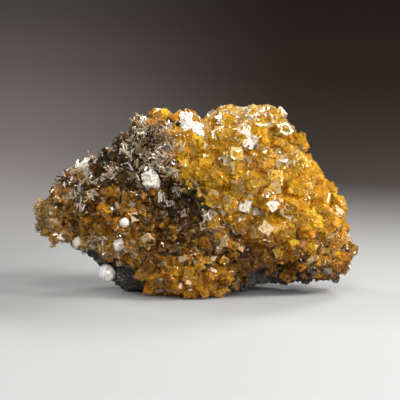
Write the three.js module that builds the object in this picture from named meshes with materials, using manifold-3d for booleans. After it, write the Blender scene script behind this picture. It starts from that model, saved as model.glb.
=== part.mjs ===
// A fluorite specimen: a crust of honey-yellow fluorite crystals grown over a dark rock, with white
// calcite perched on it and one pearly bead in the rock's lower left edge. It stands on the rock's
// broken underside and on a lump of crust in front.
// Millimetres. +X is to the viewer's right, +Y to the back and +Z up, with the floor at Z = 0.
import * as THREE from "three";
import { mergeVertices } from "three/addons/utils/BufferGeometryUtils.js";
import Module from "manifold-3d";

const wasm = await Module();
wasm.setup();

// Driving dimensions of the two masses
const HALF_WIDTH = 70;
const FRONT_DEPTH = 24;
const BACK_DEPTH = 31;
const MIDDLE_Z = 36;
const LEAN_BACK = 0.13;
const TIP_TAPER = 0.5;
const CRUST_THICKNESS = 11;
const CRUST_BACK_DEPTH = 15;
const CRYSTAL_RISE = 2.5;
const GAP = 0.35;
const ROCK_GAP = 0.8;

// How square the masses are: 1 is an ellipsoid, and less is fuller towards the outline or the face
const OUTLINE_FULLNESS = 0.6;
const FACE_FULLNESS = 0.8;

// Fineness of the faceted masses, as three.js's icosahedron detail
const ROCK_DETAIL = 4;
const CRUST_DETAIL = 3;
const LUMP_DETAIL = 1;
const CALCITE_DETAIL = 1;
const PEARL_DETAIL = 2;

// The crystals: how many places are tried, how near they stand and how deep they sit, in edge lengths
const CRYSTAL_TRIES = 9000;
const SPACING = 0.575;
const CRYSTAL_SINK = 0.2;
const FINE_BELOW_Z = 22;
const SEED = 20;

// The front outline, seen along +Y: x, z, and how far short of it the crust and the rock stop
const OUTLINE = [
  [-69, 32, 0, 7], [-62.5, 44, 0, 7], [-55, 51.5, 0, 7], [-45, 55.5, 0, 7], [-39.5, 60, 0, 7],
  [-31.5, 65.5, 0, 7], [-26, 72, 0, 7], [-19, 76, 0, 7], [-8, 75.5, 0, 10], [-2, 75, 0, 12],
  [4, 70, 0, 8], [9, 76, 0, 13], [18, 76.5, 0, 12], [33, 76, 0, 9], [37, 71.5, 0, 7],
  [43.5, 64.5, 0, 7], [46.5, 54, 0, 7], [53, 46.5, 0, 7], [61.5, 38, 0, 7], [62.5, 27, 0, 7],
  [69.5, 14, 0, 7], [64, 6.5, 1, 5], [54, 2.5, 7, 0], [24, 2, 8, 0], [14, -3, 5, 0],
  [-6, -4, 4, 0], [-22, -4, 8, 0], [-31, -1, 10, 0], [-36.5, 3.5, 8, 0], [-43, 11, 6, 0],
  [-50, 16, 3, 0], [-60, 21, 2, 1], [-69, 27, 0, 5],
];

// The notch in the top edge that no crystal grows in: x of its middle, half width, lowest z
const NOTCH = { x: 4.5, half: 5.5, z: 66 };

// Lumps that stand out of the crust: middle and half sizes
const LUMPS = [
  { at: [-3, -13, 12.5], half: [22, 14, 14] },
];

// Swells (+) and hollows (-) of the front face: x, z, radius, height towards the viewer
const FRONT_RELIEF = [
  [27, 60, 17, 6], [41, 33, 15, 8], [60, 17, 10, 6], [10, 44, 13, 4], [13, 24, 8, 6],
  [-33, 33, 16, 4], [-15, 64, 13, 4], [-64, 31, 8, 3], [52, 50, 9, 3],
  [30, 13, 13, -7], [3, 27, 9, -6], [-6, 38, 8, -5], [-30, 55, 9, -3], [4, 62, 9, -3], [-48, 20, 9, -2],
];

// Fracture planes that cut the rock: the way out of the rock, and the distance from its middle
const FRACTURES = [
  [[0.12, 1, 0.1], 25.5], [[-0.75, 1, 0.25], 34], [[0.85, 1, -0.1], 37], [[-0.15, 1, 1.05], 34],
  [[0.55, 0.9, 0.9], 38], [[0.1, 1, -0.85], 34], [[-0.6, 0.8, -0.7], 39], [[0.7, 0.9, -0.8], 41],
  [[-0.9, 0.5, 0.6], 56], [[0.9, 0.5, 0.5], 56],
];

// White calcite on the crust: the node, x and z of its middle, how far it stands out of the face,
// its radius, the number of grains that make it, and x and z from its middle to the end of the row
// that they stand in. One grain is a rounded ball.
const CALCITES = [
  { name: "calcite_ledge", x: -46, z: 53, out: 1.5, radius: 4.6, grains: 5, row: [2, 0.5] },
  { name: "calcite_peak", x: -1.5, z: 70.5, out: 2, radius: 5, grains: 7, row: [3.5, -3.5] },
  { name: "calcite_cluster", x: -20, z: 50, out: 3, radius: 4.4, grains: 6, row: [0.5, -1] },
  { name: "calcite_square", x: -33, z: 22, out: 2.5, radius: 3.6, grains: 3, row: [0, 0] },
  { name: "calcite_ball", x: -30.5, z: 33, out: 3, radius: 2.2, grains: 1 },
  { name: "calcite_knob", x: -51, z: 22, out: 2, radius: 2.7, grains: 1 },
  { name: "calcite_bead", x: 15, z: 10, out: 4, radius: 1.9, grains: 1 },
];
const GRAIN_SHARE = 0.7;
const GRAIN_SCATTER = 0.3;

// The pearly bead in the rock's edge
const PEARL_RADIUS = 4.2;
const PEARL_AT = new THREE.Vector3(-39, -8.5, 8.5);

const colours = {
  rock: { color: 0x35322e, roughness: 0.85, metalness: 0.05 },
  fluorite: { color: 0xd29a24, roughness: 0.12, metalness: 0, transparent: true, opacity: 0.85 },
  calcite: { color: 0xf1ece2, roughness: 0.45, metalness: 0 },
  pearl: { color: 0xcfcac4, roughness: 0.12, metalness: 0 },
};

// A seeded source of random numbers from 0 to 1
function randomFrom(seed) {
  let state = seed;
  return () => {
    state = (state + 0x6d2b79f5) | 0;
    let mixed = Math.imul(state ^ (state >>> 15), 1 | state);
    mixed = (mixed + Math.imul(mixed ^ (mixed >>> 7), 61 | mixed)) ^ mixed;
    return ((mixed ^ (mixed >>> 14)) >>> 0) / 2 ** 32;
  };
}
const random = randomFrom(SEED);
const between = (low, high) => low + (high - low) * random();

function randomDirection() {
  const height = between(-1, 1);
  const turn = between(0, 2 * Math.PI);
  const across = Math.sqrt(1 - height * height);
  return new THREE.Vector3(across * Math.cos(turn), height, across * Math.sin(turn));
}

function randomTurn() {
  return new THREE.Quaternion().setFromAxisAngle(randomDirection(), between(0, 2 * Math.PI));
}

// A closed three.js geometry as a manifold-3d solid
function solidOf(geometry) {
  const bare = new THREE.BufferGeometry();
  const plain = geometry.index ? geometry.toNonIndexed() : geometry;
  bare.setAttribute("position", plain.getAttribute("position").clone());
  const merged = mergeVertices(bare, 1e-4);
  return new wasm.Manifold(new wasm.Mesh({
    numProp: 3,
    vertProperties: merged.attributes.position.array,
    triVerts: merged.index.array,
  }));
}

// A manifold-3d solid as a named three.js mesh
function meshOf(name, solid, look) {
  const made = solid.getMesh();
  const geometry = new THREE.BufferGeometry();
  const places = new Float32Array(made.numVert * 3);
  for (let i = 0; i < made.numVert; i += 1) {
    places.set(made.vertProperties.subarray(i * made.numProp, i * made.numProp + 3), i * 3);
  }
  geometry.setAttribute("position", new THREE.BufferAttribute(places, 3));
  geometry.setIndex(new THREE.BufferAttribute(made.triVerts, 1));
  geometry.computeVertexNormals();
  const mesh = new THREE.Mesh(geometry, new THREE.MeshStandardMaterial({ ...look, flatShading: true }));
  mesh.name = name;
  return mesh;
}

const joined = (solids) => solids.reduce((sum, solid) => sum.add(solid));

// The largest body of a solid, without the chips that a cut leaves loose
function largest(solid) {
  return solid.decompose().reduce((best, body) => (body.volume() > best.volume() ? body : best));
}

// The outline's points by angle round the middle
const POLAR = OUTLINE.map(([x, z, crustShort, rockShort]) => ({
  angle: Math.atan2(z - MIDDLE_Z, x),
  radius: Math.hypot(x, z - MIDDLE_Z),
  crustShort,
  rockShort,
})).sort((a, b) => a.angle - b.angle);

// The outline at an angle, on the straight edge between two of its points
function outlineAt(angle) {
  const turn = 2 * Math.PI;
  const next = POLAR.findIndex((point) => point.angle > angle);
  const to = POLAR[next < 0 ? 0 : next];
  const from = POLAR[next <= 0 ? POLAR.length - 1 : next - 1];
  const span = (to.angle - from.angle + turn) % turn;
  const along = (angle - from.angle + turn) % turn;
  const radius = (from.radius * to.radius * Math.sin(span))
    / (from.radius * Math.sin(along) + to.radius * Math.sin(span - along));
  return {
    radius,
    crustShort: THREE.MathUtils.lerp(from.crustShort, to.crustShort, along / span),
    rockShort: THREE.MathUtils.lerp(from.rockShort, to.rockShort, along / span),
  };
}

function reliefAt(x, z) {
  return FRONT_RELIEF.reduce((sum, [atX, atZ, radius, height]) => {
    const away = ((x - atX) ** 2 + (z - atZ) ** 2) / radius ** 2;
    return sum + height * Math.exp(-away);
  }, 0);
}

const leanAt = (z) => LEAN_BACK * (z - MIDDLE_Z);
const taperAt = (x) => 1 - TIP_TAPER * (x / HALF_WIDTH) ** 2;

// The crust's and the rock's shapes: their outline's radius, their depths and their share of relief
const CRUST = {
  radius: ({ radius, crustShort }) => radius - CRYSTAL_RISE - crustShort,
  front: FRONT_DEPTH - CRYSTAL_RISE,
  back: CRUST_BACK_DEPTH,
  relief: 1,
};
const ROCK = {
  radius: ({ radius, rockShort }) => radius - rockShort,
  front: FRONT_DEPTH - CRUST_THICKNESS,
  back: BACK_DEPTH,
  relief: 0.6,
};

// The point of a mass's face that lies out from the middle in a direction
function facePoint(direction, shape) {
  const angle = Math.atan2(direction.z, direction.x);
  const across = Math.hypot(direction.x, direction.z);
  const inward = Math.abs(direction.y);
  const reach = shape.radius(outlineAt(angle)) * across ** OUTLINE_FULLNESS;
  const x = reach * Math.cos(angle);
  const z = MIDDLE_Z + reach * Math.sin(angle);
  const rise = inward ** FACE_FULLNESS * taperAt(x);
  const y = direction.y < 0
    ? -(shape.front + shape.relief * reliefAt(x, z)) * rise
    : shape.back * rise;
  return new THREE.Vector3(x, y + leanAt(z), z);
}

// The direction in which the crust's front face has an x and z, or its edge where they are beyond it
function frontDirection(x, z) {
  const angle = Math.atan2(z - MIDDLE_Z, x);
  const share = Math.hypot(x, z - MIDDLE_Z) / CRUST.radius(outlineAt(angle));
  const across = Math.min(1, share) ** (1 / OUTLINE_FULLNESS);
  const inward = Math.sqrt(1 - across * across);
  return new THREE.Vector3(across * Math.cos(angle), -inward, across * Math.sin(angle));
}

const frontAt = (x, z) => facePoint(frontDirection(x, z), CRUST).y;

// A mass as a closed faceted solid
function massSolid(shape, detail) {
  const geometry = new THREE.IcosahedronGeometry(1, detail);
  const places = geometry.getAttribute("position");
  const spot = new THREE.Vector3();
  for (let i = 0; i < places.count; i += 1) {
    spot.fromBufferAttribute(places, i).normalize();
    places.setXYZ(i, ...facePoint(spot, shape));
  }
  return solidOf(geometry);
}

// A block that fills the space beyond a plane
function beyondPlane(out, distance) {
  const size = 4 * HALF_WIDTH;
  const way = new THREE.Vector3(...out).normalize();
  const block = new THREE.BoxGeometry(size, size, size);
  block.translate(0, 0, size / 2 + distance);
  block.applyQuaternion(new THREE.Quaternion().setFromUnitVectors(new THREE.Vector3(0, 0, 1), way));
  block.translate(0, 0, MIDDLE_Z);
  return solidOf(block);
}

const belowFloor = beyondPlane([0, 0, -1], MIDDLE_Z);

function rockSolid(margin = 0) {
  const grown = {
    ...ROCK,
    radius: (edge) => ROCK.radius(edge) + margin,
    front: ROCK.front + margin,
    back: ROCK.back + margin,
  };
  const cuts = FRACTURES.map(([out, distance]) => beyondPlane(out, distance + margin));
  return cuts.reduce((rock, cut) => rock.subtract(cut), massSolid(grown, ROCK_DETAIL));
}

// A crystal's edge lengths by where it grows: large and blocky to the right, slim blades to the
// left, and fine ones low down
function crystalEdges(x, z) {
  if (z < FINE_BELOW_Z) return [between(4.5, 6.5), between(4.5, 6.5), between(4.5, 6.5)];
  if (x < 0) return [between(3.5, 5.5), between(5, 7), between(7, 10)];
  const edge = between(6, 9);
  return [edge * between(0.8, 1.1), edge * between(0.8, 1.1), edge];
}

function crystalSolid([wide, deep, tall], turn, at, margin = 0) {
  const crystal = new THREE.BoxGeometry(wide + 2 * margin, deep + 2 * margin, tall + 2 * margin);
  crystal.applyQuaternion(turn);
  crystal.translate(at.x, at.y, at.z);
  return solidOf(crystal);
}

// How far a point is out of the nearest lump, below 0 inside it
function lumpReach(point) {
  return Math.min(...LUMPS.map(({ at, half }) => (
    point.clone().sub(new THREE.Vector3(...at)).divide(new THREE.Vector3(...half)).length() - 1
  )));
}

// A random place on the crust's front, edges or lumps
function crustPlace() {
  const choice = random();
  if (choice < 0.15) {
    const { at, half } = LUMPS[Math.floor(random() * LUMPS.length)];
    return randomDirection().multiply(new THREE.Vector3(...half)).add(new THREE.Vector3(...at));
  }
  const direction = choice < 0.5
    ? randomDirection()
    : frontDirection(between(-HALF_WIDTH, HALF_WIDTH), between(0, 2 * MIDDLE_Z));
  return facePoint(direction, CRUST);
}

const isBuried = (place) => (
  lumpReach(place) < -0.1 || (lumpReach(place) < 0.05 && place.y > frontAt(place.x, place.z) + 4)
);
const inNotch = (place) => Math.abs(place.x - NOTCH.x) < NOTCH.half && place.z > NOTCH.z;

// Crystals over the crust's front, top and edges, no two of them nearer than their sizes allow
function crustCrystals() {
  const middle = new THREE.Vector3(0, 0, MIDDLE_Z);
  const placed = [];
  for (let tries = 0; tries < CRYSTAL_TRIES; tries += 1) {
    const face = crustPlace();
    const edges = crystalEdges(face.x, face.z);
    const size = (edges[0] + edges[1] + edges[2]) / 3;
    const hidden = face.z < 2 || face.y > CRUST_BACK_DEPTH * 0.8 || isBuried(face) || inNotch(face);
    const crowded = placed.some((other) => (
      other.at.distanceTo(face) < SPACING * (size + other.size)
    ));
    if (!hidden && !crowded) {
      const at = face.clone().lerp(middle, (CRYSTAL_SINK * size) / face.distanceTo(middle));
      placed.push({ at: face, size, solid: crystalSolid(edges, randomTurn(), at) });
    }
  }
  return joined(placed.map((crystal) => crystal.solid));
}

function ball(radius, at, detail) {
  const sphere = new THREE.IcosahedronGeometry(radius, detail);
  sphere.translate(at.x, at.y, at.z);
  return solidOf(sphere);
}

// A calcite piece and the pocket that it sits in
function calciteSolids({ x, z, out, radius, grains, row }) {
  const middle = new THREE.Vector3(x, frontAt(x, z) - out, z);
  if (grains === 1) {
    return {
      piece: ball(radius, middle, CALCITE_DETAIL),
      pocket: ball(radius + GAP, middle, CALCITE_DETAIL),
    };
  }
  const pieces = [];
  const pockets = [];
  for (let i = 0; i < grains; i += 1) {
    const edge = radius * GRAIN_SHARE * between(0.9, 1.5);
    const edges = [edge, edge, edge * between(0.8, 1.2)];
    const along = (2 * i) / (grains - 1) - 1;
    const at = middle.clone()
      .add(new THREE.Vector3(row[0] * along, 0, row[1] * along))
      .addScaledVector(randomDirection(), radius * GRAIN_SCATTER);
    const turn = randomTurn();
    pieces.push(crystalSolid(edges, turn, at));
    pockets.push(crystalSolid(edges, turn, at, GAP));
  }
  return { piece: joined(pieces), pocket: joined(pockets) };
}

const lumps = joined(LUMPS.map(({ at, half }) => {
  const sphere = new THREE.IcosahedronGeometry(1, LUMP_DETAIL);
  sphere.scale(...half);
  sphere.translate(...at);
  return solidOf(sphere);
}));
const crystals = crustCrystals();
const calcites = CALCITES.map((calcite) => ({ ...calcite, ...calciteSolids(calcite) }));
const pearl = ball(PEARL_RADIUS, PEARL_AT, PEARL_DETAIL);
const pearlPocket = ball(PEARL_RADIUS + GAP, PEARL_AT, PEARL_DETAIL);
const pockets = joined([pearlPocket, ...calcites.map((calcite) => calcite.pocket)]);

const rock = largest(rockSolid().subtract(pockets).subtract(belowFloor));
const crust = largest(
  massSolid(CRUST, CRUST_DETAIL)
    .add(lumps)
    .add(crystals)
    .subtract(rockSolid(ROCK_GAP))
    .subtract(pockets)
    .subtract(belowFloor),
);

const specimen = new THREE.Group();
specimen.add(meshOf("rock", rock, colours.rock));
specimen.add(meshOf("fluorite_crust", crust, colours.fluorite));
calcites.forEach(({ name, piece }) => specimen.add(meshOf(name, piece, colours.calcite)));
specimen.add(meshOf("pearly_bead", pearl, colours.pearl));

// The origin is on the floor, under the middle of the whole specimen
const box = new THREE.Box3().setFromObject(specimen);
const centre = box.getCenter(new THREE.Vector3());
specimen.position.set(-centre.x, -centre.y, -box.min.z);

export default specimen;
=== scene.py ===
"""The finish of a fluorite specimen: its crystals, rock, calcite and bead, over the fixed frame.

Metres, in the frame's own axes: +X to the viewer's right, +Y to the back, +Z up, floor at Z = 0.
"""

import math

import bpy
import numpy as np
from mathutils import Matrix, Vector, noise
from mathutils.bvhtree import BVHTree
from mathutils.kdtree import KDTree


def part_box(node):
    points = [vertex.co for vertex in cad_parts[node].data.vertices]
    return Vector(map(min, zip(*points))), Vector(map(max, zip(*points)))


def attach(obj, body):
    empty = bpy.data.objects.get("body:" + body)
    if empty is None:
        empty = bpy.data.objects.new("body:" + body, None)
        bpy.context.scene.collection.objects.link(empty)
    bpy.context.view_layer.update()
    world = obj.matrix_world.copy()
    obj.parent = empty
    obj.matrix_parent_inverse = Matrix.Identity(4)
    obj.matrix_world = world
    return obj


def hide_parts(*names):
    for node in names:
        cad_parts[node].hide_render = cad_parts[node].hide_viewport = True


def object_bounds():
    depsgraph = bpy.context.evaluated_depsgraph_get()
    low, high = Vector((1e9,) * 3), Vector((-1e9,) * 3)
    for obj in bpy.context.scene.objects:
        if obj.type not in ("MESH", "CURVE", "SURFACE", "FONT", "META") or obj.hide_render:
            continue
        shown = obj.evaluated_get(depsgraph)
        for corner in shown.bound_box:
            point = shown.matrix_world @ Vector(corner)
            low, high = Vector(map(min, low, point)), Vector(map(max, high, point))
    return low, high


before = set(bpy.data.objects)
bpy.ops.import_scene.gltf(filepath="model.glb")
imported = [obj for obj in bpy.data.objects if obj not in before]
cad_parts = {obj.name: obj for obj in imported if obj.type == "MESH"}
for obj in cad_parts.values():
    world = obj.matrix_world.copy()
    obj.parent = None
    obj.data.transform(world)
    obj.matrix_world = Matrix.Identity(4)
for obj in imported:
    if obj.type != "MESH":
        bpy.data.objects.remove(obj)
CAD_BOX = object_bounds()

bl_info = {
    "name": "Fluorite Specimen",
    "version": (1, 0, 0),
    "blender": (4, 5, 0),
    "location": "View3D > Sidebar > Specimen",
    "description": "Grows the crystals, rock and calcite of a fluorite specimen",
    "category": "Mesh",
}

MM = 0.001

BODY = "root"
CALCITES = [name for name in sorted(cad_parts) if name.startswith("calcite")]

# How far small crystals may reach past the frame's box, for each axis
EDGE_MARGIN = np.array([2.4, 1.0, 1.7]) * MM

# How far from the rock the small crystals and the fine ones start
CRYSTALS_OFF_ROCK = 1.6 * MM
FINE_OFF_ROCK = 3.0 * MM

# The picture: its side in pixels, the real size of a pixel at the specimen, and the pixel of the
# frame's origin
PICTURE_PIXELS = 400
PIXEL_SIZE = 0.432 * MM
ORIGIN_PIXEL = (197.2, 289.6)
SENSOR_WIDTH = 36
CAMERA_ELEVATION = math.radians(8)
CAMERA_DISTANCE = 0.93


def linear(code):
    """A colour written as six hex digits, as Blender's linear red, green and blue."""
    parts = [int(code[i : i + 2], 16) / 255 for i in (0, 2, 4)]
    return tuple(c / 12.92 if c <= 0.04045 else ((c + 0.055) / 1.055) ** 2.4 for c in parts)


# The kinds of fluorite crystal by colour, and whether the kind is clear
KINDS = {
    "straw": (linear("fde09a"), True),
    "gold": (linear("ffc832"), True),
    "honey": (linear("fcb92c"), True),
    "amber": (linear("f0a026"), True),
    "brown": (linear("b47e2c"), True),
    "umber": (linear("6e4a18"), True),
    "tan": (linear("c8aa82"), False),
    # Whitish crystals: partly their own colour, partly painted glints set where faces would mirror
    # the lamps
    "whitish_and_painted_glint": (linear("efe4d2"), False),
    "smoke": (linear("3a2e14"), False),
    "grey": (linear("968c80"), False),
}

# Zones of the crystal face: the place of the middle as seen from the front and the radius, in
# millimetres, the crystals' size, the colour under them, and the shares of the kinds
ZONES = [
    ((24, 79), 8, 2.8, "fcf2dc", {"straw": 5, "gold": 1, "whitish_and_painted_glint": 3}),
    ((25, 65), 14, 3.4, "f6d470", {"honey": 4, "gold": 4, "straw": 2, "whitish_and_painted_glint": 0.7}),
    ((42, 57), 10, 2.8, "f6d470", {"honey": 4, "gold": 4, "straw": 1.6, "whitish_and_painted_glint": 0.4}),
    ((50, 42), 12, 3.6, "ffc438", {"honey": 4, "gold": 6, "amber": 1}),
    ((36, 29), 11, 2.8, "ffc838", {"gold": 6, "honey": 4, "straw": 0.6}),
    ((54, 27), 9, 2.6, "fcc850", {"gold": 4, "honey": 4, "straw": 1, "tan": 0.4}),
    ((-8, 66), 7, 2.4, "fcc040", {"honey": 5, "gold": 3, "amber": 2, "straw": 0.6}),
    # Painted light: this zone's lighter kinds and bright under colour lift the valley between the
    # two masses, which the lamps leave in shade.
    ((3, 56), 9, 3.2, "ffca48", {"gold": 6, "honey": 4, "straw": 1}),
    ((17, 46), 12, 2.6, "fcc850", {"gold": 5, "honey": 5, "straw": 1, "whitish_and_painted_glint": 0.3}),
    ((10, 26), 7, 2.2, "e8b058", {"honey": 4, "gold": 2, "straw": 1, "tan": 1}),
    ((22, 36), 7, 2.2, "fcc850", {"honey": 4, "gold": 4, "straw": 1.5, "whitish_and_painted_glint": 1}),
    ((-23, 70), 8, 1.7, "a88850", {"brown": 3, "amber": 2, "honey": 1, "tan": 1.6}),
    ((-13, 68), 6, 2.0, "e0b468", {"honey": 3, "straw": 2, "tan": 1.2, "gold": 1}),
    ((-27, 60), 8, 1.5, "1c1608", {"umber": 3, "smoke": 4, "brown": 1}),
    ((-38, 50), 10, 1.6, "0e0b04", {"umber": 2, "smoke": 6}),
    ((-15, 49), 7, 2.0, "38260a", {"brown": 3, "umber": 3, "smoke": 1}),
    ((-53, 42), 9, 1.5, "5c4420", {"brown": 3, "amber": 1, "umber": 3, "tan": 0.6}),
    ((-66, 33), 9, 1.4, "ffe8c0", {"straw": 4, "tan": 2, "honey": 3, "whitish_and_painted_glint": 1}),
    ((-54, 31), 7, 1.6, "70480c", {"amber": 2, "brown": 3, "umber": 2}),
    ((-40, 35), 9, 2.0, "70440c", {"amber": 3, "brown": 3, "umber": 2}),
    ((-30, 37), 6, 2.0, "c88c30", {"honey": 3, "amber": 3, "brown": 1, "straw": 0.5}),
    ((-43, 22), 9, 1.5, "f0b860", {"honey": 5, "amber": 2, "gold": 1, "tan": 1.6}),
    ((-28, 18), 8, 1.5, "d89c48", {"honey": 4, "amber": 2, "brown": 1, "tan": 1.6}),
    ((-10, 34), 10, 1.9, "140c02", {"umber": 4, "brown": 1.5, "smoke": 3}),
    ((-14, 21), 8, 1.6, "4a300c", {"umber": 4, "brown": 3, "amber": 1}),
    ((2, 15), 6, 1.9, "2c1e08", {"umber": 4, "brown": 1.5, "smoke": 2, "tan": 0.4}),
    ((-3, 5), 11, 1.6, "f4bc50", {"amber": 3, "honey": 5, "gold": 1, "tan": 0.6}),
    ((-50, 17), 8, 1.5, "c8a470", {"tan": 3, "brown": 2, "amber": 2}),
    ((22, 15), 9, 2.0, "6e460a", {"brown": 4, "amber": 2, "umber": 2}),
    ((38, 17), 9, 2.0, "9a6410", {"amber": 4, "brown": 4, "umber": 1}),
    ((42, 8), 6, 1.8, "2c1c06", {"brown": 2, "umber": 4, "smoke": 1}),
    ((46, 2), 8, 1.2, "2a241c", {"smoke": 4, "umber": 2, "grey": 2}),
    ((62, 15), 9, 1.9, "a07028", {"amber": 2, "honey": 1.5, "brown": 3, "umber": 1, "tan": 0.8}),
]

# Single crystals that stand out: the place as seen from the front and the edge, in millimetres, and
# the kind
# The whitish ones are partly painted glints, set where crystal faces would mirror the lamps.
SINGLES = [
    ((20, 36), 5.4, "whitish_and_painted_glint"), ((24, 33.5), 4.2, "whitish_and_painted_glint"), ((32, 36.5), 4.8, "whitish_and_painted_glint"),
    ((12, 56), 4.2, "whitish_and_painted_glint"), ((9.5, 60), 3.2, "whitish_and_painted_glint"), ((39, 55), 4.2, "whitish_and_painted_glint"),
    ((41, 60), 3.6, "whitish_and_painted_glint"), ((30, 64.5), 3.6, "whitish_and_painted_glint"), ((-34, 36), 4.2, "whitish_and_painted_glint"),
    ((-14, 37), 3.2, "tan"), ((7.5, 76), 5.4, "whitish_and_painted_glint"), ((10, 72), 3.8, "whitish_and_painted_glint"),
    ((15, 77), 5.0, "straw"), ((19, 76), 5.4, "whitish_and_painted_glint"), ((24, 77.5), 5.6, "straw"),
    ((28, 76), 5.0, "whitish_and_painted_glint"), ((31, 77.5), 5.4, "straw"), ((36, 75.5), 6.0, "whitish_and_painted_glint"),
    ((33, 72), 4.6, "straw"), ((41, 66), 4.6, "straw"),
    ((44, 61), 4.4, "straw"), ((46, 54), 4.2, "whitish_and_painted_glint"), ((49, 47), 5.4, "gold"),
    ((56, 40), 7.0, "gold"), ((60, 33), 6.0, "honey"), ((51, 34), 10.0, "gold"),
    ((42, 44), 10.0, "gold"), ((23, 67), 7.5, "gold"), ((-4, 60), 9.0, "honey"),
    ((4, 53), 8.0, "gold"), ((13, 46), 7.0, "gold"), ((33, 57), 7.0, "straw"),
    ((10, 25), 8.0, "honey"), ((-16, 1), 2.8, "whitish_and_painted_glint"), ((58, 15), 6.0, "honey"),
    ((-34, 29), 6.0, "amber"), ((-42, 25), 6.0, "honey"), ((-67, 34), 5.0, "straw"),
    ((-10, 67), 7.0, "honey"), ((28, 46), 6.0, "gold"), ((16, 62), 7.0, "gold"),
    ((40, 31), 7.5, "gold"), ((35, 21), 7.5, "gold"), ((-4, 8), 5.5, "honey"),
    ((-40, 35), 5.0, "amber"), ((10, 8), 5.0, "honey"), ((22, 24), 6.0, "amber"),
    ((18.5, 48.5), 4.6, "gold"), ((21.5, 46.5), 5.0, "honey"), ((24, 49), 4.4, "gold"),
    ((20.5, 44.5), 4.4, "straw"), ((25, 46), 4.6, "honey"),
]

# The gap between the two masses at the top, where no crystals grow: its middle and radius
NOTCH = ((4.2, 75), 3.6)

# Where tufts of fine blades grow: the middle as seen from the front, the radius along and across,
# in millimetres, how many tufts, and the kinds they are drawn from
# The whitish blades among them are partly painted highlights on the blades.
TUFTS = [
    ((-22, 64), 9, 6, 150, ("tan", "tan", "whitish_and_painted_glint", "smoke")),
    ((-15, 56), 5, 5, 45, ("tan", "whitish_and_painted_glint")),
    ((-46, 50), 8, 3, 15, ("tan", "whitish_and_painted_glint", "tan")),
    ((-50, 42), 8, 5, 50, ("tan", "tan", "whitish_and_painted_glint", "smoke")),
    ((-67, 33), 3, 6, 40, ("honey", "tan", "straw", "tan")),
    ((-28, 51), 9, 4, 35, ("tan", "whitish_and_painted_glint", "smoke")),
    ((-9, 42), 6, 6, 20, ("tan", "whitish_and_painted_glint", "smoke")),
    ((6, 29), 5, 6, 14, ("tan", "whitish_and_painted_glint")),
    ((-42, 17), 12, 4, 26, ("straw", "tan", "whitish_and_painted_glint")),
    ((58, 20), 6, 5, 10, ("straw", "tan")),
]
BLADES_IN_TUFT = 12

# A blade's thickness, width and length, as shares of its own size
BLADE_SHAPE = np.array([0.05, 0.16, 0.9])

TINY_CRYSTALS = 5000
PLACES_FOR_FINE = 60000

# The soft lights: the name, the place, the side, and the power as a share of the key setting
SOFTBOXES = [
    ("key softbox", (0.6, -0.15, 0.5), 0.24, 2.3),
    ("back softbox", (0.35, 0.5, 0.5), 0.25, 1.2),
    ("left back softbox", (-0.55, 0.3, 0.4), 0.2, 0.9),
    ("top softbox", (0.0, -0.35, 0.8), 0.26, 0.7),
    ("front softbox", (0.35, -0.75, 0.35), 0.3, 0.7),
]

# Small lights in a ring, which make the crystals' faces sparkle
SPARKS = 9
SPARK_RING = 0.62
SPARK_SIDE = 0.05
SPARK_SHARE = 0.18


def colour_setting(name, description, code):
    """A colour that the user can change, from six hex digits."""
    return bpy.props.FloatVectorProperty(
        name=name, description=description, default=linear(code), subtype="COLOR", min=0, max=1
    )


def length_setting(name, description, millimetres):
    """A length that the user can change, from millimetres."""
    return bpy.props.FloatProperty(
        name=name, description=description, default=millimetres * MM, unit="LENGTH", precision=5
    )


class FluoriteSettings(bpy.types.PropertyGroup):
    crystals: bpy.props.IntProperty(
        name="Crystals", description="Small crystals tried over the crust", default=11000, min=0
    )
    spread: bpy.props.FloatProperty(
        name="Spread of sizes",
        description="How far sizes stray from each zone's own size, as a share of it",
        default=0.42,
        min=0,
        max=1,
        subtype="FACTOR",
    )
    tiny: length_setting("Tiny crystal", "Edge of the tiny crystals that stand on the others", 0.8)
    blade: length_setting("Blade", "Length of the fine blades in the tufts", 3.4)
    absorption: colour_setting(
        "Body colour", "What light turns to deep in a clear crystal", "f4ee50"
    )
    seed: bpy.props.IntProperty(name="Seed", description="Start of the random order", default=7)


class RockSettings(bpy.types.PropertyGroup):
    grain: length_setting("Grain", "Size of the rock's coarse grains", 1.1)
    roughness: length_setting("Relief", "Depth of the broken surface", 0.9)
    grains: bpy.props.IntProperty(
        name="Grains", description="Loose-looking grains over the rock", default=9000, min=0
    )
    colour: colour_setting("Rock", "Colour of the dark rock", "302c29")


class CalciteSettings(bpy.types.PropertyGroup):
    grain: length_setting("Grain", "Edge of the small calcite grains", 0.9)
    colour: colour_setting("Calcite", "Colour of the calcite", "cdc5b8")
    pearl: colour_setting("Bead", "Colour of the pearly bead", "f4f0ea")


class StageSettings(bpy.types.PropertyGroup):
    floor: colour_setting("Floor", "Colour of the floor in front", "7f7f7e")
    # The far colours paint the light's falloff behind the specimen, dimmer on the right than on the
    # left.
    left: colour_setting("Left distance", "Colour of the floor far behind on the left", "a89c98")
    right: colour_setting("Right distance", "Colour of the floor far behind on the right", "463226")
    key: bpy.props.FloatProperty(
        name="Key light", description="Power of the main soft light", default=4.8, unit="POWER"
    )


SETTINGS = {
    "specimen_fluorite": FluoriteSettings,
    "specimen_rock": RockSettings,
    "specimen_calcite": CalciteSettings,
    "specimen_stage": StageSettings,
}


# Materials


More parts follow.
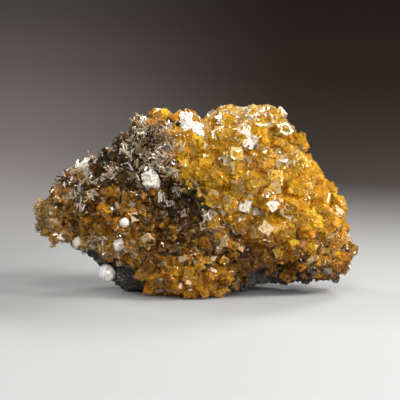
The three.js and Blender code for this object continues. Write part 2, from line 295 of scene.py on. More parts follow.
class Varying:
    """A number that varies over a surface. Arithmetic on it adds Math nodes."""

    def __init__(self, finish, socket):
        self.finish = finish
        self.socket = socket

    def math(self, operation, *others):
        made = self.finish.node("ShaderNodeMath", {"operation": operation}, dict(enumerate(others)))
        return Varying(self.finish, made.outputs[0])

    def __add__(self, other):
        return self.math("ADD", self, other)

    def __sub__(self, other):
        return self.math("SUBTRACT", self, other)

    def __rsub__(self, other):
        return self.math("SUBTRACT", other, self)

    def __mul__(self, other):
        return self.math("MULTIPLY", self, other)

    def __pow__(self, other):
        return self.math("POWER", self, other)

    __radd__ = __add__
    __rmul__ = __mul__

    def between(self, low, high):
        """0 below low, 1 above high, smooth between."""
        made = self.finish.node(
            "ShaderNodeMapRange",
            {"interpolation_type": "SMOOTHSTEP"},
            {"Value": self, "From Min": low, "From Max": high},
        )
        return Varying(self.finish, made.outputs[0])


class Finish:
    """A material under construction: its nodes and its Principled shader."""

    def __init__(self, name):
        self.material = bpy.data.materials.new(name)
        self.material.use_nodes = True
        self.nodes = self.material.node_tree.nodes
        self.links = self.material.node_tree.links
        self.shader = self.nodes["Principled BSDF"]
        self.place = self.node("ShaderNodeTexCoord").outputs["Object"]

    def feed(self, socket, value):
        """Link a value to a socket, or set it there when it is plain."""
        if isinstance(value, Varying):
            value = value.socket
        if isinstance(value, bpy.types.NodeSocket):
            self.links.new(value, socket)
        else:
            socket.default_value = value

    def node(self, kind, settings=None, inputs=None):
        """A new node with its settings, and with its sockets fed."""
        made = self.nodes.new(kind)
        for key, value in (settings or {}).items():
            setattr(made, key, value)
        for key, value in (inputs or {}).items():
            self.feed(made.inputs[key], value)
        return made

    def noise(self, size, detail=3.0):
        """Noise whose features are about this size, in metres."""
        inputs = {"Vector": self.place, "Scale": 1 / size, "Detail": detail, "Roughness": 0.55}
        made = self.node("ShaderNodeTexNoise", None, inputs)
        return Varying(self, made.outputs[0])

    def cells(self, size):
        """The distance to the middle of cells about this size, in metres."""
        made = self.node("ShaderNodeTexVoronoi", None, {"Vector": self.place, "Scale": 1 / size})
        return Varying(self, made.outputs["Distance"])

    def bands(self, size, direction):
        """Noise in flat layers about this thick, square to a direction stored on the faces."""
        along = self.node(
            "ShaderNodeVectorMath",
            {"operation": "DOT_PRODUCT"},
            {0: self.place, 1: self.attribute(direction, "Vector")},
        )
        made = self.node(
            "ShaderNodeTexNoise",
            {"noise_dimensions": "1D"},
            {"W": Varying(self, along.outputs["Value"]) * (1 / size), "Scale": 1.0, "Detail": 3.0},
        )
        return Varying(self, made.outputs[0])

    def attribute(self, name, output="Color"):
        """What is stored on the faces under that name."""
        made = self.node("ShaderNodeAttribute", {"attribute_name": name})
        return made.outputs[output]

    def mix(self, factor, first, second, blend="MIX"):
        """Two colours mixed by a varying number or a share."""
        settings = {"data_type": "RGBA", "blend_type": blend}
        made = self.node("ShaderNodeMix", settings, {0: factor, 6: first, 7: second})
        return made.outputs[2]

    def bump(self, height, distance, strength):
        """A fine relief of that height, in metres."""
        inputs = {"Height": height, "Distance": distance, "Strength": strength}
        made = self.node("ShaderNodeBump", None, inputs)
        self.feed(self.shader.inputs["Normal"], made.outputs["Normal"])

    def set(self, **values):
        """Feed the shader's own sockets, named with underscores for spaces."""
        for key, value in values.items():
            self.feed(self.shader.inputs[key.replace("_", " ")], value)


def opaque(colour):
    """A colour with full alpha, as colour sockets take it."""
    return (*colour[:3], 1.0)


def fluorite_finish(name, transmission, settings):
    """Fluorite in each crystal's own tint, with growth bands, veils and dark specks."""
    finish = Finish(name)
    tint = finish.attribute("tint")
    bands = finish.bands(0.7 * MM, "axis")
    veil = finish.noise(2.5 * MM, 4).between(0.52, 0.75)
    speck = finish.noise(0.7 * MM, 3).between(0.58, 0.66)
    deeper = finish.mix(1.0, tint, opaque(linear("a07838")), "MULTIPLY")
    paler = finish.mix(0.45, tint, opaque(linear("fff4dc")))
    colour = finish.mix(bands.between(0.5, 0.7) * 0.6, tint, deeper)
    colour = finish.mix(veil * 0.4, colour, paler)
    colour = finish.mix(speck * 0.85, colour, opaque(linear("2c1e08")))
    frost = finish.noise(1.4 * MM, 3)
    finish.bump(finish.noise(0.6 * MM, 5) + bands, 0.07 * MM, 0.6)
    finish.set(Base_Color=colour, Roughness=0.03 + 0.15 * frost.between(0.5, 0.8))
    finish.set(IOR=1.434, Specular_IOR_Level=0.38, Transmission_Weight=transmission)
    depth = {"Color": opaque(settings.absorption), "Density": 100.0}
    volume = finish.node("ShaderNodeVolumeAbsorption", None, depth)
    finish.feed(finish.nodes["Material Output"].inputs["Volume"], volume.outputs[0])
    return finish.material


def rock_finish(settings):
    """Dark rock with grey and rusty grains, fine pits and a few bright flecks."""
    finish = Finish("dark rock")
    base = opaque(settings.colour)
    patches = finish.noise(9 * MM, 5).between(0.4, 0.7)
    hollows = finish.noise(4 * MM, 4).between(0.55, 0.75)
    flecks = finish.noise(0.8 * MM, 3).between(0.58, 0.7)
    colour = finish.mix(patches * 0.6, base, opaque(linear("5b524a")))
    colour = finish.mix(hollows * 0.6, colour, opaque(linear("1c1a19")))
    colour = finish.mix(flecks * 0.7, colour, opaque(linear("8d8579")))
    colour = finish.mix(0.45, colour, finish.attribute("tint"))
    height = finish.noise(0.7 * MM, 6) + 0.5 * finish.cells(settings.grain)
    finish.bump(height, 0.35 * MM, 0.9)
    gloss = finish.noise(0.5 * MM, 2).between(0.6, 0.66)
    finish.set(Base_Color=colour, Roughness=0.85 - 0.55 * gloss, IOR=1.5)
    return finish.material


def bed_finish():
    """The rock's altered skin under the crystals, as bright as their zone."""
    finish = Finish("bed under the crystals")
    tint = finish.attribute("tint")
    deeper = finish.mix(0.55, tint, opaque(linear("38270f")))
    spots = finish.noise(1.3 * MM, 4).between(0.5, 0.68)
    finish.bump(finish.noise(0.9 * MM, 4), 0.3 * MM, 0.8)
    finish.set(Base_Color=finish.mix(spots, tint, deeper), Roughness=0.7)
    return finish.material


def calcite_finish(settings):
    """White sugary calcite, a little grey and cream in its hollows."""
    finish = Finish("white calcite")
    cream = finish.noise(2.2 * MM, 4).between(0.4, 0.75)
    hollows = finish.noise(0.6 * MM, 3).between(0.6, 0.75)
    colour = finish.mix(cream * 0.5, opaque(settings.colour), opaque(linear("b5a78f")))
    colour = finish.mix(hollows * 0.5, colour, opaque(linear("8c8274")))
    finish.bump(finish.noise(0.35 * MM, 4) + 0.6 * finish.cells(0.6 * MM), 0.14 * MM, 0.8)
    finish.set(Base_Color=colour, Roughness=0.28 + 0.3 * finish.noise(0.7 * MM), IOR=1.57)
    finish.set(Transmission_Weight=0.12)
    return finish.material


def pearl_finish(settings):
    """A smooth pearly bead under a clear gloss, in upright white-to-grey bands: partly its tone,
    partly a painted highlight streak and shade.
    """
    finish = Finish("pearly bead")
    # Upright bands: partly the bead's own grey-white tone, partly a painted highlight streak and
    # painted shade.
    drawn_out = {"Vector": finish.place, "Scale": (1.0, 1.0, 0.25)}
    stretched = finish.node("ShaderNodeMapping", None, drawn_out).outputs[0]
    inputs = {"Vector": stretched, "Scale": 1 / (1.6 * MM), "Detail": 3.0}
    bands = finish.node("ShaderNodeTexNoise", None, inputs)
    tone_and_painted_streak = Varying(finish, bands.outputs[0]).between(0.38, 0.66)
    colour = finish.mix(tone_and_painted_streak * 0.75, opaque(settings.pearl), opaque(linear("aaa29a")))
    finish.bump(finish.noise(1.2 * MM, 3), 0.05 * MM, 0.4)
    finish.set(Base_Color=colour, Roughness=0.08 + 0.15 * tone_and_painted_streak, IOR=1.5, Coat_Weight=1.0)
    finish.set(Transmission_Weight=0.15)
    return finish.material


# Meshes


def arrays_of(mesh):
    """A mesh's vertices and its triangles."""
    mesh.calc_loop_triangles()
    vertices = np.zeros(len(mesh.vertices) * 3)
    mesh.vertices.foreach_get("co", vertices)
    triangles = np.zeros(len(mesh.loop_triangles) * 3, int)
    mesh.loop_triangles.foreach_get("vertices", triangles)
    return vertices.reshape(-1, 3), triangles.reshape(-1, 3)


def welded(vertices, triangles):
    """The same triangles with vertices at one place made one."""
    _, first, number = np.unique(
        np.round(vertices / 1e-8).astype(int), axis=0, return_index=True, return_inverse=True
    )
    return vertices[first], number.reshape(-1)[triangles]


def surface_points(vertices, triangles, count, random):
    """Random places on a surface, evenly by area, and its normal at each."""
    a, b, c = (vertices[triangles[:, i]] for i in range(3))
    normals = np.cross(b - a, c - a)
    areas = np.linalg.norm(normals, axis=1)
    picked = random.choice(len(triangles), count, p=areas / areas.sum())
    u, v = random.random((2, count, 1))
    folded = u + v > 1
    u, v = np.where(folded, 1 - u, u), np.where(folded, 1 - v, v)
    places = a[picked] + u * (b - a)[picked] + v * (c - a)[picked]
    return places, normals[picked] / areas[picked, None]


def random_turns(count, random):
    """Rotation matrices spread evenly over every way a crystal can lie."""
    return turns_along(random.normal(size=(count, 3)), random)


def unit(vectors):
    """The same directions, each with length 1."""
    return vectors / np.linalg.norm(vectors, axis=-1, keepdims=True)


def turns_along(directions, random):
    """Rotation matrices that turn +Z to the directions, each with a random turn about it."""
    z = unit(directions)
    x = unit(np.cross(z, random.normal(size=z.shape)))
    return np.stack([x, np.cross(z, x), z], axis=2)


# A cube of edge 1 round its middle: its corners, and the corners of each face
CORNERS = np.array([[x, y, z] for x in (-1, 1) for y in (-1, 1) for z in (-1, 1)]) / 2
SIDES = np.array([
    [0, 1, 3, 2], [4, 6, 7, 5], [0, 4, 5, 1], [2, 3, 7, 6], [0, 2, 6, 4], [1, 5, 7, 3],
])


def crystal_corners(centres, turns, edges):
    """The eight corners of each box-shaped crystal."""
    return centres[:, None, :] + np.einsum("nij,nkj->nki", turns, CORNERS[None] * edges[:, None, :])


def joined_mesh(name, materials, parts):
    """One object of several parts, each given as vertices, faces, face tints, finishes and axes."""
    vertices, faces, tints, finishes, axes = [], [], [], [], []
    start = 0
    for part_vertices, part_faces, part_tints, part_finish, part_axes in parts:
        vertices.append(part_vertices)
        faces.extend((part_faces + start).tolist())
        tints.append(part_tints)
        finishes.append(part_finish)
        axes.append(part_axes)
        start += len(part_vertices)
    mesh = bpy.data.meshes.new(name)
    mesh.from_pydata(np.concatenate(vertices).tolist(), [], faces)
    colours = np.concatenate(tints)
    colours = np.c_[colours, np.ones(len(colours))]
    layer = mesh.attributes.new("tint", "FLOAT_COLOR", "FACE")
    layer.data.foreach_set("color", colours.ravel().astype(np.float32))
    layer = mesh.attributes.new("axis", "FLOAT_VECTOR", "FACE")
    layer.data.foreach_set("vector", np.concatenate(axes).ravel().astype(np.float32))
    mesh.polygons.foreach_set("material_index", np.concatenate(finishes).astype(np.int32))
    for material in materials:
        mesh.materials.append(material)
    mesh.update()
    made = bpy.data.objects.new(name, mesh)
    bpy.context.collection.objects.link(made)
    return made


def form_part(vertices, faces, tints, finish=0):
    """A form as one part for joined_mesh."""
    count = len(faces)
    return (
        vertices,
        faces,
        np.broadcast_to(tints, (count, 3)),
        np.broadcast_to(finish, count),
        np.broadcast_to((1.0, 0.0, 0.0), (count, 3)),
    )


def box_part(corners, tints, finish=0):
    """Box-shaped crystals as one part for joined_mesh."""
    count = len(corners)
    faces = (SIDES[None] + 8 * np.arange(count)[:, None, None]).reshape(-1, 4)
    return (
        corners.reshape(-1, 3),
        faces,
        np.repeat(np.broadcast_to(tints, (count, 3)), 6, axis=0),
        np.repeat(np.broadcast_to(finish, count), 6),
        np.repeat(unit(corners[:, 4] - corners[:, 0]), 6, axis=0),
    )


def outer_box(margin=EDGE_MARGIN):
    """The frame's box with the margin round it, but none below the floor."""
    low = np.array(CAD_BOX[0]) - margin
    low[2] = 0
    return low, np.array(CAD_BOX[1]) + margin


def inside_frame(corners, margin=EDGE_MARGIN):
    """Which crystals stay within the frame's box and its margin."""
    low, high = outer_box(margin)
    return ((corners >= low) & (corners <= high)).all(axis=(1, 2))


def finely_meshed(name, node, voxel):
    """A copy of a node's form as an even fine mesh."""
    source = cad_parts[node].data.copy()
    made = bpy.data.objects.new(name, source)
    bpy.context.collection.objects.link(made)
    remesh = made.modifiers.new("fine", "REMESH")
    remesh.mode = "VOXEL"
    remesh.voxel_size = voxel
    remesh.adaptivity = 0.0
    evaluated = made.evaluated_get(bpy.context.evaluated_depsgraph_get())
    fine = bpy.data.meshes.new_from_object(evaluated)
    bpy.data.objects.remove(made)
    vertices, triangles = arrays_of(fine)
    normals = np.zeros(len(fine.vertices) * 3)
    fine.vertices.foreach_get("normal", normals)
    quads = np.array([list(face.vertices) for face in fine.polygons])
    bpy.data.meshes.remove(fine)
    return vertices, quads, triangles, normals.reshape(-1, 3)


def roughened(vertices, normals, size, depth, sharp=1.0):
    """Vertices sunk along their normals by a noise of that size, down to that depth."""
    heights = np.array([noise.fractal(Vector(place) / size, 0.9, 2.1, 4) for place in vertices])
    share = np.clip(0.5 + 0.5 * sharp * heights, 0, 1)
    moved = vertices - normals * (share * depth)[:, None]
    moved[:, 2] = np.maximum(moved[:, 2], 0)
    return moved


# Pieces


def seen_from_front(places):
    """X and height of places as the camera sees them, in millimetres."""
    height = places[:, 2] * math.cos(CAMERA_ELEVATION) + places[:, 1] * math.sin(CAMERA_ELEVATION)
    return places[:, 0] / MM, height / MM


def zone_weights(places):
    """How much each zone says about each place, as shares that add to 1."""
    seen_x, seen_height = seen_from_front(places)
    weights = np.array([
        np.exp(-(((seen_x - x) ** 2 + (seen_height - height) ** 2) / radius**2))
        for (x, height), radius, *_ in ZONES
    ]).T + 1e-9
    return weights / weights.sum(axis=1, keepdims=True)


def out_of_notch(corners):
    """Which crystals stand clear of the gap at the top, as seen from the front."""
    seen_x, seen_height = seen_from_front(corners.mean(axis=1))
    (x, height), radius = NOTCH
    return np.hypot(seen_x - x, seen_height - height) > radius


def mottled(places, size, low, high):
    """A brightness for each place, from low to high, in patches about this size."""
    heights = np.array([noise.noise(Vector(place) / size) for place in places])
    return low + (high - low) * np.clip(0.5 + 0.9 * heights, 0, 1)[:, None]


def kind_shares():
    """The shares of the kinds in each zone, adding to 1."""
    shares = np.array([[mix.get(name, 0) for name in KINDS] for *_, mix in ZONES], float)
    return shares / shares.sum(axis=1, keepdims=True)


def chosen(odds, random):
    """A number for each row, drawn by the row's shares."""
    steps = np.cumsum(odds, axis=1)
    draws = random.random((len(odds), 1)) * steps[:, -1:]
    return np.minimum((draws > steps).sum(axis=1), odds.shape[1] - 1)


def tint_of(kinds, places, random):
    """Each crystal's colour: its kind's, lighter or darker by patches and by chance."""
    colours = np.array([colour for colour, _ in KINDS.values()])[kinds]
    colours = colours * mottled(places, 5 * MM, 0.5, 1.15)
    return np.clip(colours * random.uniform(0.85, 1.05, (len(kinds), 1)), 0, 1)


def cloudiness_of(kinds):
    """The finish number of each crystal: 0 where its kind is clear, 1 where it is cloudy."""
    return np.array([0 if clear else 1 for _, clear in KINDS.values()])[kinds]


def shapes_of_frame(node):
    """A node's form, to measure distances from."""
    return BVHTree.FromPolygons(*[part.tolist() for part in arrays_of(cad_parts[node].data)])


def open_points(form, count, clearance, random):
    """Random places on the crust's open face, fewer on the back, with the normals."""
    rock = shapes_of_frame("rock")
    places, normals = surface_points(*form, 3 * count, random)
    wanted = normals[:, 1] < random.uniform(0.2, 1.4, len(normals))
    places, normals = places[wanted][:count], normals[wanted][:count]
    outside = np.array([rock.find_nearest(Vector(place))[3] > clearance for place in places])
    return places[outside], normals[outside]


def grown_crystals(form, settings, random):
    """Small crystals over the crust's open face: corners and kinds."""
    places, normals = open_points(form, settings.crystals, CRYSTALS_OFF_ROCK, random)
    weights = zone_weights(places)
    zones = chosen(weights, random)
    size = np.array([size for _, _, size, _, _ in ZONES])[zones] * MM
    size *= np.exp(np.clip(random.normal(0, settings.spread, len(size)), -0.9, 0.7))
    edges = size[:, None] * random.uniform(0.75, 1.15, (len(size), 3))
    sink = edges.min(axis=1) * random.uniform(0.25, 0.7, len(edges))
    centres = places - normals * sink[:, None]
    corners = crystal_corners(centres, random_turns(len(places), random), edges)
    kept = inside_frame(corners) & out_of_notch(corners)
    return corners[kept], chosen(weights[kept] @ kind_shares(), random)


def single_crystals(form, random):
    """The crystals that stand out, each where the line of sight meets the crust."""
    crust = BVHTree.FromPolygons(*[part.tolist() for part in form])
    sight = Vector((0, math.cos(CAMERA_ELEVATION), -math.sin(CAMERA_ELEVATION)))
    upward = Vector((0, math.sin(CAMERA_ELEVATION), math.cos(CAMERA_ELEVATION)))
    away = 0.2
    places = []
    for (x, height), _, _ in SINGLES:
        start = Vector((x * MM, 0, 0)) + upward * height * MM - sight * away
        places.append(crust.ray_cast(start, sight)[0] or start + sight * away)
    edges = np.array([[edge * MM] * 3 for _, edge, _ in SINGLES])
    edges = edges * random.uniform(0.55, 1.05, edges.shape)
    corners = crystal_corners(np.array(places), random_turns(len(SINGLES), random), edges)
    low, high = outer_box()
    corners += np.maximum(low - corners.min(axis=1), 0)[:, None, :]
    corners -= np.maximum(corners.max(axis=1) - high, 0)[:, None, :]
    return corners, np.array([list(KINDS).index(kind) for _, _, kind in SINGLES])


def apart_sets(corners):
    """A set number for each crystal, so that crystals of one set never touch."""
    centres = corners.mean(axis=1)
    reach = np.linalg.norm(corners[:, 0] - centres, axis=1)
    tree = KDTree(len(centres))
    for index, centre in enumerate(centres):
        tree.insert(centre, index)
    tree.balance()
    sets = np.full(len(centres), -1)
    for index in np.argsort(-reach):
        near = tree.find_range(centres[index], reach[index] + reach.max())
        taken = {sets[other] for _, other, away in near if away < reach[index] + reach[other]}
        sets[index] = min(set(range(len(taken) + 1)) - taken)
    return sets


def united(materials, form, corners, tints, finishes):
    """The crust's form and all its crystals as one closed mesh object."""
    grown = joined_mesh("fluorite_crystals", materials, [form])
    sets = apart_sets(corners)
    for number in range(sets.max(), -1, -1):
        mine = sets == number
        part = box_part(corners[mine], tints[mine], finishes[mine])
        added = joined_mesh("added", materials, [part])
        union = grown.modifiers.new("union", "BOOLEAN")
        union.operation = "UNION"
        union.solver = "MANIFOLD"
        union.object = added
        evaluated = grown.evaluated_get(bpy.context.evaluated_depsgraph_get())
        mesh = bpy.data.meshes.new_from_object(evaluated)
        grown.modifiers.clear()
        grown.data = mesh
        bpy.data.meshes.remove(added.data)
    grown.data.name = grown.name
    return grown


def tufts_of_blades(places, normals, settings, random):
    """Fine blades in tufts where TUFTS puts them, as corners and kinds."""
    seen_x, seen_height = seen_from_front(places)
    roots, kinds = [], []
    for (x, height), along, across, count, drawn_from in TUFTS:
        away = ((seen_x - x) / along) ** 2 + ((seen_height - height) / across) ** 2
        odds = np.exp(-away) * (away < 4) + 1e-12
        roots.append(random.choice(len(places), count, p=odds / odds.sum()))
        kinds.append(random.choice([list(KINDS).index(kind) for kind in drawn_from], count))
    roots, kinds = np.concatenate(roots), np.concatenate(kinds)
    lean = random.normal(size=(len(roots), 3)) + 0.7 * normals[roots] + np.array([0, -0.3, 0.5])
    blades = np.repeat(np.arange(len(roots)), BLADES_IN_TUFT)
    directions = unit(unit(lean)[blades] + 0.42 * random.normal(size=(len(blades), 3)))
    lengths = settings.blade * random.uniform(0.5, 1.25, (len(blades), 1))
    edges = lengths * BLADE_SHAPE * random.uniform(0.8, 1.3, (len(blades), 3))
    middles = places[roots][blades] + directions * lengths * 0.25
    middles = middles + random.normal(scale=0.8 * MM, size=middles.shape)
    corners = crystal_corners(middles, turns_along(directions, random), edges)
    return corners, kinds[blades]


def tiny_crystals(places, normals, settings, random):
    """Tiny crystals strewn over the others, as corners and kinds."""
    mine = random.choice(len(places), TINY_CRYSTALS)
    edges = settings.tiny * np.exp(random.normal(0, 0.35, (len(mine), 1)))
    edges = edges * random.uniform(0.5, 1.3, (len(mine), 3))
    corners = crystal_corners(places[mine], random_turns(len(mine), random), edges)
    return corners, chosen(zone_weights(places[mine]) @ kind_shares(), random)


def make_fine_crystals(grown, materials, settings, random):
    """Tufts of blades and tiny crystals on the open faces of the grown ones."""
    rock = shapes_of_frame("rock")
    places, normals = surface_points(*arrays_of(grown.data), PLACES_FOR_FINE, random)
    in_front = normals[:, 1] < 0.3
    places, normals = places[in_front], normals[in_front]
    outside = np.array([rock.find_nearest(Vector(place))[3] > FINE_OFF_ROCK for place in places])
    places, normals = places[outside], normals[outside]
    blades, blade_kinds = tufts_of_blades(places, normals, settings, random)
    tiny, tiny_kinds = tiny_crystals(places, normals, settings, random)
    corners, kinds = np.concatenate([blades, tiny]), np.concatenate([blade_kinds, tiny_kinds])
    kept = inside_frame(corners) & out_of_notch(corners)
    corners, kinds = corners[kept], kinds[kept]
    tints = tint_of(kinds, corners.mean(axis=1), random)
    part = box_part(corners, tints, cloudiness_of(kinds))
    made = joined_mesh("fine_crystals", materials, [part])
    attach(made, BODY)


def make_fluorite(settings):
    """The crust with its thousands of crystals, all grown together, and the fine ones on it."""
    random = np.random.default_rng(settings.seed)
    form = welded(*arrays_of(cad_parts["fluorite_crust"].data))
    single_corners, single_kinds = single_crystals(form, random)
    corners, kinds = grown_crystals(form, settings, random)
    corners = np.concatenate([single_corners, corners])
    kinds = np.concatenate([single_kinds, kinds])
    kind_colours = np.array([colour for colour, _ in KINDS.values()])
    middles = form[0][form[1]].mean(axis=1)
    tints = zone_weights(middles) @ kind_shares() @ kind_colours
    tints = tints * mottled(middles, 5 * MM, 0.85, 1.15)
    materials = [
        fluorite_finish("clear fluorite", 0.7, settings),
        fluorite_finish("cloudy fluorite", 0.45, settings),
    ]
    crystal_tints = tint_of(kinds, corners.mean(axis=1), random)
    part = form_part(*form, np.clip(tints, 0, 1))
    made = united(materials, part, corners, crystal_tints, cloudiness_of(kinds))
    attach(made, BODY)
    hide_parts("fluorite_crust")
    make_fine_crystals(made, materials, settings, random)


def make_rock(settings):
    """The dark rock: broken and grainy where it is bare, and under the crust in its colours."""
    random = np.random.default_rng(11)
    crust = shapes_of_frame("fluorite_crust")
    vertices, quads, triangles, normals = finely_meshed("rock_form", "rock", 1.0 * MM)
    vertices = roughened(vertices, normals, 13 * MM, 1.6 * settings.roughness, 1.8)
    vertices = roughened(vertices, normals, 5 * MM, settings.roughness, 1.6)
    vertices = roughened(vertices, normals, 1.7 * MM, 0.45 * settings.roughness, 1.6)
    places, outward = surface_points(vertices, triangles, settings.grains, random)
    bare = np.array([crust.find_nearest(Vector(place))[3] for place in places]) > 1.2 * MM
    places, outward = places[bare], outward[bare]
    edges = settings.grain * np.exp(random.normal(-0.25, 0.35, (len(places), 1)))
    edges = edges * random.uniform(0.6, 1.2, (len(places), 3))
    centres = places - outward * edges.min(axis=1)[:, None] * 0.15
    corners = crystal_corners(centres, random_turns(len(places), random), edges)
    corners = corners[inside_frame(corners, 0.3 * MM)]
    # Lighter grains: partly the rock's own light grains, partly painted sparkle standing in for
    # glints off the rock.
    dark, light = np.array(linear("2b2927")), np.array(linear("b4aca2"))
    patches = mottled(corners.mean(axis=1), 9 * MM, 0.2, 1.3)
    grain_tone_and_painted_sparkle = random.random((len(corners), 1)) ** 2.5 * patches
    grain_tints = dark + (light - dark) * np.clip(grain_tone_and_painted_sparkle, 0, 1)
    middles = vertices[quads].mean(axis=1)
    away = np.array([crust.find_nearest(Vector(middle))[3] for middle in middles]) / MM
    under = zone_weights(middles) @ np.array([linear(code) for _, _, _, code, _ in ZONES])
    under = under * mottled(middles, 5 * MM, 0.35, 1.15)
    covered = np.clip(2.6 - away, 0, 1)[:, None]
    tints = np.clip(dark + (under - dark) * covered, 0, 1)
    form = form_part(vertices, quads, tints, np.where(away < 2.4, 1, 0))
    grains = box_part(corners, grain_tints)
    made = joined_mesh("dark_rock", [rock_finish(settings), bed_finish()], [form, grains])
    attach(made, BODY)
    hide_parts("rock")


def make_calcite(node, material, settings, seed):
    """One white calcite piece: the node's form, sugary with small grains."""
    random = np.random.default_rng(seed)
    vertices, quads, triangles, normals = finely_meshed(node + "_form", node, 0.28 * MM)
    vertices = roughened(vertices, normals, 1.0 * MM, 0.25 * MM, 1.5)
    low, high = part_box(node)
    area = (high - low).length ** 2
    count = int(1.2 * area / settings.grain**2)
    places, outward = surface_points(vertices, triangles, count, random)
    round_piece = max(high - low) < 6 * MM
    scale = settings.grain * (0.6 if round_piece else 1.0)
    edges = scale * np.exp(random.normal(-0.1, 0.3, (count, 1)))
    edges = edges * random.uniform(0.6, 1.2, (count, 3))
    sunk = 0.4 if round_piece else 0.15
    centres = places - outward * edges.min(axis=1)[:, None] * sunk
    corners = crystal_corners(centres, random_turns(count, random), edges)
    corners = corners[inside_frame(corners, 0.5 * MM)]
    white = (1.0, 1.0, 1.0)
    parts = [form_part(vertices, quads, white), box_part(corners, white)]
    made = joined_mesh("white_" + node, [material], parts)
    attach(made, BODY)
    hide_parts(node)


def make_pearl(settings):
    """The pearly bead: a smooth, slightly uneven drop."""
    vertices, quads, _, normals = finely_meshed("bead_form", "pearly_bead", 0.22 * MM)
    vertices = roughened(vertices, normals, 5 * MM, 0.5 * MM)
    part = form_part(vertices, quads, (1.0, 1.0, 1.0))
    made = joined_mesh("smooth_pearly_bead", [pearl_finish(settings)], [part])
    made.data.shade_smooth()
    smooth = made.modifiers.new("smooth", "SMOOTH")
    smooth.iterations = 12
    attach(made, BODY)
    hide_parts("pearly_bead")


# Stage


def make_floor(settings):
    """A wide floor with painted light: bright at the specimen, dark far behind it, and shadowed on
    its left.
    """
    bpy.ops.mesh.primitive_grid_add(x_subdivisions=60, y_subdivisions=60, size=14)
    floor = bpy.context.object
    floor.name = "floor"
    finish = Finish("floor")
    parts = finish.node("ShaderNodeSeparateXYZ", None, {"Vector": finish.place})
    x = Varying(finish, parts.outputs["X"])
    y = Varying(finish, parts.outputs["Y"])
    # Painted light falloff: the floor far behind darkens with distance, and more towards the right,
    # as the studio's light fades.
    across = (x * (y + CAMERA_DISTANCE) ** -1.0).between(-0.1, 0.05)
    behind = finish.mix(across, opaque(linear("565250")), opaque(linear("18100a")))
    beyond = finish.mix(across, opaque(settings.left), opaque(settings.right))
    distance = finish.mix(y.between(0.5, 1.6), behind, beyond)
    # Painted shadow: near the specimen the floor is darker on its left, where the specimen's shadow
    # falls.
    near = finish.mix(x.between(-0.1, -0.01), opaque(linear("696968")), opaque(settings.floor))
    near = finish.mix(y.between(-0.1, -0.03), opaque(settings.floor), near)
    colour = finish.mix((y + 0.4 * x).between(-0.02, 0.42), near, distance)
    finish.set(Base_Color=colour, Roughness=0.75, Specular_IOR_Level=0.2)
    floor.data.materials.append(finish.material)


def make_light(name, place, side, power):
    """A square soft light that faces the specimen's middle."""
    light = bpy.data.lights.new(name, "AREA")
    light.size = side
    light.energy = power
    made = bpy.data.objects.new(name, light)
    made.location = place
    aim = Vector((0, 0, 0.04)) - made.location
    made.rotation_euler = aim.to_track_quat("-Z", "Y").to_euler()
    bpy.context.collection.objects.link(made)


def make_camera():
    """The camera: a long lens, aimed so that the origin falls on its own pixel."""
    camera = bpy.data.cameras.new("camera")
    camera.sensor_width = SENSOR_WIDTH
    camera.lens = SENSOR_WIDTH * CAMERA_DISTANCE / (PICTURE_PIXELS * PIXEL_SIZE)
    camera.clip_end = 50
    across = (PICTURE_PIXELS / 2 - ORIGIN_PIXEL[0]) * PIXEL_SIZE
    up = (ORIGIN_PIXEL[1] - PICTURE_PIXELS / 2) * PIXEL_SIZE / math.cos(CAMERA_ELEVATION)
    target = Vector((across, 0, up))
    away = Vector((0, -math.cos(CAMERA_ELEVATION), math.sin(CAMERA_ELEVATION)))
    made = bpy.data.objects.new("camera", camera)
    made.location = target + away * CAMERA_DISTANCE
    made.rotation_euler = (-away).to_track_quat("-Z", "Y").to_euler()
    bpy.context.collection.objects.link(made)
    bpy.context.scene.camera = made


def make_stage(settings):
    """Floor, lights, camera, the room's faint light, and how light is traced."""
    make_floor(settings)
    for name, place, side, share in SOFTBOXES:
        make_light(name, place, side, share * settings.key)
    for turn in range(SPARKS):
        angle = math.radians(-100 + 25 * turn)
        height = 0.25 + 0.22 * (turn % 3)
        place = (SPARK_RING * math.sin(angle), -SPARK_RING * math.cos(angle), height)
        make_light("spark %d" % turn, place, SPARK_SIDE, SPARK_SHARE * settings.key)
    make_camera()
    scene = bpy.context.scene
    world = bpy.data.worlds.new("studio")
    world.use_nodes = True
    background = world.node_tree.nodes["Background"]
    background.inputs["Color"].default_value = (0.5, 0.5, 0.52, 1)
    background.inputs["Strength"].default_value = 0.24
    scene.world = world
    scene.view_settings.view_transform = "Standard"
    scene.view_settings.look = "None"
    scene.cycles.use_denoising = True
    scene.cycles.max_bounces = 16
    scene.cycles.transmission_bounces = 14
    scene.cycles.diffuse_bounces = 4


# Operators and panel


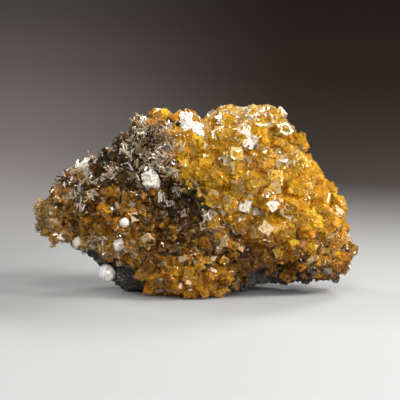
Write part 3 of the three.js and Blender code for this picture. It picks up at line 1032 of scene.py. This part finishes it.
class SPECIMEN_OT_fluorite(bpy.types.Operator):
    """Grow the crust of fluorite crystals"""

    bl_idname = "specimen.fluorite"
    bl_label = "Fluorite Crust"

    def execute(self, context):
        make_fluorite(context.scene.specimen_fluorite)
        return {"FINISHED"}


class SPECIMEN_OT_rock(bpy.types.Operator):
    """Break the dark rock's surface into grains"""

    bl_idname = "specimen.rock"
    bl_label = "Dark Rock"

    def execute(self, context):
        make_rock(context.scene.specimen_rock)
        return {"FINISHED"}


class SPECIMEN_OT_calcite(bpy.types.Operator):
    """Finish the white calcite pieces and the pearly bead"""

    bl_idname = "specimen.calcite"
    bl_label = "Calcite and Bead"

    def execute(self, context):
        settings = context.scene.specimen_calcite
        material = calcite_finish(settings)
        for seed, node in enumerate(CALCITES):
            make_calcite(node, material, settings, seed)
        make_pearl(settings)
        return {"FINISHED"}


class SPECIMEN_OT_stage(bpy.types.Operator):
    """Set the floor, the lights and the camera"""

    bl_idname = "specimen.stage"
    bl_label = "Stage"

    def execute(self, context):
        make_stage(context.scene.specimen_stage)
        return {"FINISHED"}


class SPECIMEN_PT_panel(bpy.types.Panel):
    bl_label = "Fluorite Specimen"
    bl_idname = "SPECIMEN_PT_panel"
    bl_space_type = "VIEW_3D"
    bl_region_type = "UI"
    bl_category = "Specimen"

    def draw(self, context):
        for operator, group in zip(OPERATORS, SETTINGS):
            box = self.layout.box()
            box.operator(operator.bl_idname)
            settings = getattr(context.scene, group)
            for name in type(settings).__annotations__:
                box.prop(settings, name)


OPERATORS = [SPECIMEN_OT_fluorite, SPECIMEN_OT_rock, SPECIMEN_OT_calcite, SPECIMEN_OT_stage]
CLASSES = [*SETTINGS.values(), *OPERATORS, SPECIMEN_PT_panel]


def register():
    for made in CLASSES:
        bpy.utils.register_class(made)
    for name, group in SETTINGS.items():
        setattr(bpy.types.Scene, name, bpy.props.PointerProperty(type=group))


def unregister():
    for name in SETTINGS:
        delattr(bpy.types.Scene, name)
    for made in reversed(CLASSES):
        bpy.utils.unregister_class(made)


def main():
    register()
    bpy.ops.specimen.fluorite()
    bpy.ops.specimen.rock()
    bpy.ops.specimen.calcite()
    bpy.ops.specimen.stage()


if __name__ == "__main__":
    main()
